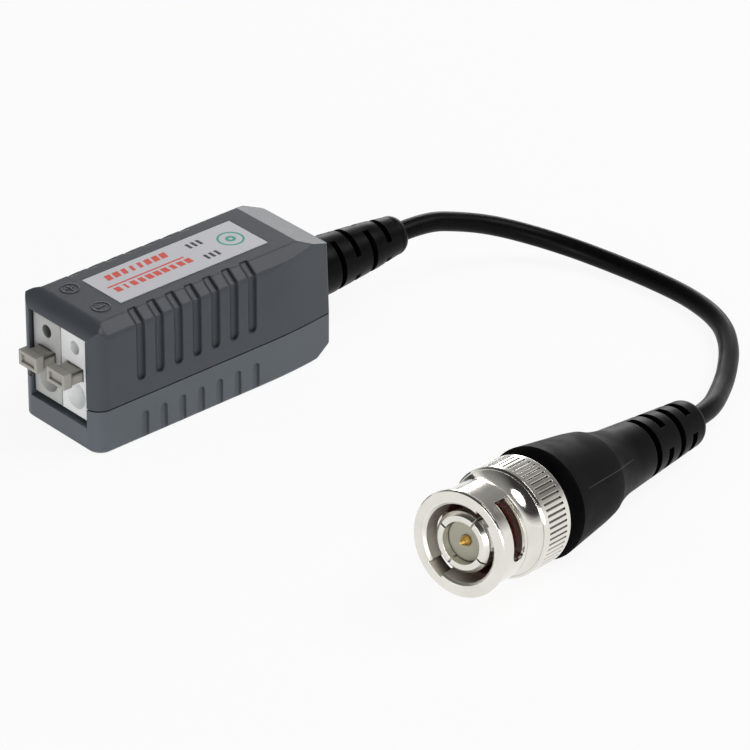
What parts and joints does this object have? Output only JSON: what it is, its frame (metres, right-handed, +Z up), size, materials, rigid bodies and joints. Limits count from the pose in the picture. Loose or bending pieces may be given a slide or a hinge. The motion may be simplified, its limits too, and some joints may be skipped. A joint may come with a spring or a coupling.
{
  "type": "video balun",
  "caption": "Passive camera video balun: small grip-sided housing with a push-in wire terminal block, a moulded cable gland, a short coaxial tail and a bayonet coaxial plug.",
  "frame": {"origin": "middle of the housing's flat underside, on the surface it rests on", "axes": "+X from the terminal block towards the cable gland, +Z up, -Y the side where the plug lies"},
  "size_m": [0.0911, 0.0805, 0.0189],
  "materials": {
    "cover_plastic": "fine spark-eroded satin",
    "tray_plastic": "fine spark-eroded satin",
    "label_film": "printed film, semi gloss",
    "pole_grey": "satin nylon",
    "pole_white": "satin nylon",
    "tab_plastic": "satin nylon",
    "spring_steel": "bright rolled",
    "tinned_copper": "tinned",
    "board_laminate": "solder mask",
    "ferrite": "sintered",
    "magnet_wire": "enamelled",
    "capacitor_coating": "dipped resin",
    "component_black": "moulded resin",
    "resistor_coating": "lacquer",
    "jacket_black": "satin vinyl",
    "core_dielectric": "polyethylene",
    "boot_rubber": "satin moulded",
    "nickel_plate": "bright nickel",
    "contact_nickel": "satin nickel",
    "insulator_white": "waxy",
    "gold_plate": "gold plated",
    "gasket_rubber": "matt silicone"
  },
  "bodies": {
    "root": {"upper_shell": "cover_plastic", "lower_shell": "tray_plastic", "label": "label_film", "terminal_pole_left": "pole_grey", "terminal_pole_right": "pole_white", "clamp_spring_left": "spring_steel", "clamp_spring_right": "spring_steel", "contact_bar_left": "tinned_copper", "contact_bar_right": "tinned_copper", "circuit_board": "board_laminate", "transformer_core": "ferrite", "primary_winding": "magnet_wire", "secondary_winding": "magnet_wire", "coupling_capacitor": "capacitor_coating", "surge_suppressor": "component_black", "matching_resistor": "resistor_coating", "cable_gland": "jacket_black", "cable_tail": "jacket_black", "core_lead": "core_dielectric", "shield_lead": "tinned_copper", "cable": "jacket_black", "cable_end": "jacket_black", "plug_boot": "boot_rubber", "plug_body": "nickel_plate", "crimp_ferrule": "nickel_plate", "shield_contact": "contact_nickel", "plug_insulator": "insulator_white", "centre_pin": "gold_plate", "plug_gasket": "gasket_rubber", "retaining_ring": "spring_steel"},
    "release_tab_left": {"release_tab_left": "tab_plastic"},
    "release_tab_right": {"release_tab_right": "tab_plastic"},
    "washer_stack": {"thrust_washer": "spring_steel", "spring_washer": "spring_steel"},
    "coupling_nut": {"coupling_nut": "nickel_plate"}
  },
  "joints": [
    {"name": "tab_left_press", "type": "slide", "parent": "root", "child": "release_tab_left", "axis": [1, 0, 0], "range_m": [0, 0.0018], "stiffness_N_per_m": 2000, "springref_m": -0.0005, "deforming": ["clamp_spring_left"]},
    {"name": "tab_right_press", "type": "slide", "parent": "root", "child": "release_tab_right", "axis": [1, 0, 0], "range_m": [0, 0.0018], "stiffness_N_per_m": 2000, "springref_m": -0.0005, "deforming": ["clamp_spring_right"]},
    {"name": "nut_float", "type": "slide", "parent": "root", "child": "washer_stack", "axis": [-0.9748, -0.1886, 0.1188], "range_m": [0, 0.0005]},
    {"name": "nut_spin", "type": "hinge", "parent": "washer_stack", "child": "coupling_nut", "pos_m": [-0.0096, -0.06554, 0.00943], "axis": [-0.9748, -0.1886, 0.1188], "continuous": true}
  ]
}
